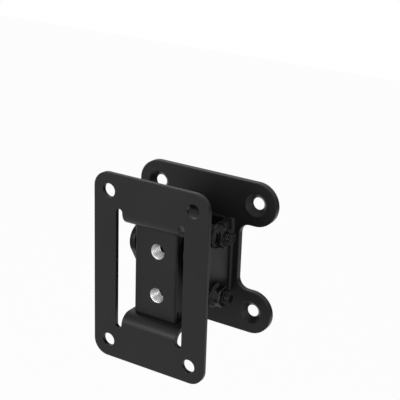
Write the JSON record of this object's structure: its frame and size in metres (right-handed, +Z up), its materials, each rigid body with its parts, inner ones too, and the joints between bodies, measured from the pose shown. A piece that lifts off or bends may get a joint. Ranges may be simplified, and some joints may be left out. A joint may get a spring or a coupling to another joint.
{
  "type": "speaker wall bracket",
  "caption": "Folded steel wall bracket for a small loudspeaker: a slim screwed wall plate carries a fork with a tilting box and a swivelling speaker plate.",
  "frame": {"origin": "centre of the wall plate's back face, on the wall", "axes": "+X right as seen from the room, +Y into the wall, +Z up; the speaker faces -Y"},
  "size_m": [0.0816, 0.0538, 0.098],
  "materials": {
    "powder_coat": "satin black powder coat",
    "black_zinc": "black plated, semi-gloss",
    "zinc_plate": "bright zinc",
    "nylon": "matt black nylon"
  },
  "bodies": {
    "wall_side": {"wall_plate": "powder_coat", "wall_fork": "powder_coat", "weld_bead_left": "powder_coat", "weld_bead_right": "powder_coat", "tilt_bolt_upper": "black_zinc", "tilt_washer_upper": "black_zinc", "tilt_nut_upper": "black_zinc", "tilt_bolt_lower": "black_zinc", "tilt_washer_lower": "black_zinc", "tilt_nut_lower": "black_zinc", "tilt_liner_left": "nylon", "tilt_liner_right": "nylon"},
    "tilt_box": {"swivel_box": "powder_coat", "weld_nut_upper": "zinc_plate", "weld_nut_lower": "zinc_plate", "pivot_bolt_upper": "black_zinc", "pivot_nut_upper": "black_zinc", "pivot_bolt_lower": "black_zinc", "pivot_nut_lower": "black_zinc"},
    "speaker_side": {"speaker_plate": "powder_coat"}
  },
  "joints": [
    {"name": "tilt", "type": "hinge", "parent": "wall_side", "child": "tilt_box", "pos_m": [0, -0.0203, 0.016], "axis": [1, 0, 0], "range_deg": [-6, 6]},
    {"name": "swivel", "type": "hinge", "parent": "tilt_box", "child": "speaker_side", "pos_m": [0, -0.0318, 0], "axis": [0, 0, 1], "range_deg": [-30, 30]}
  ]
}
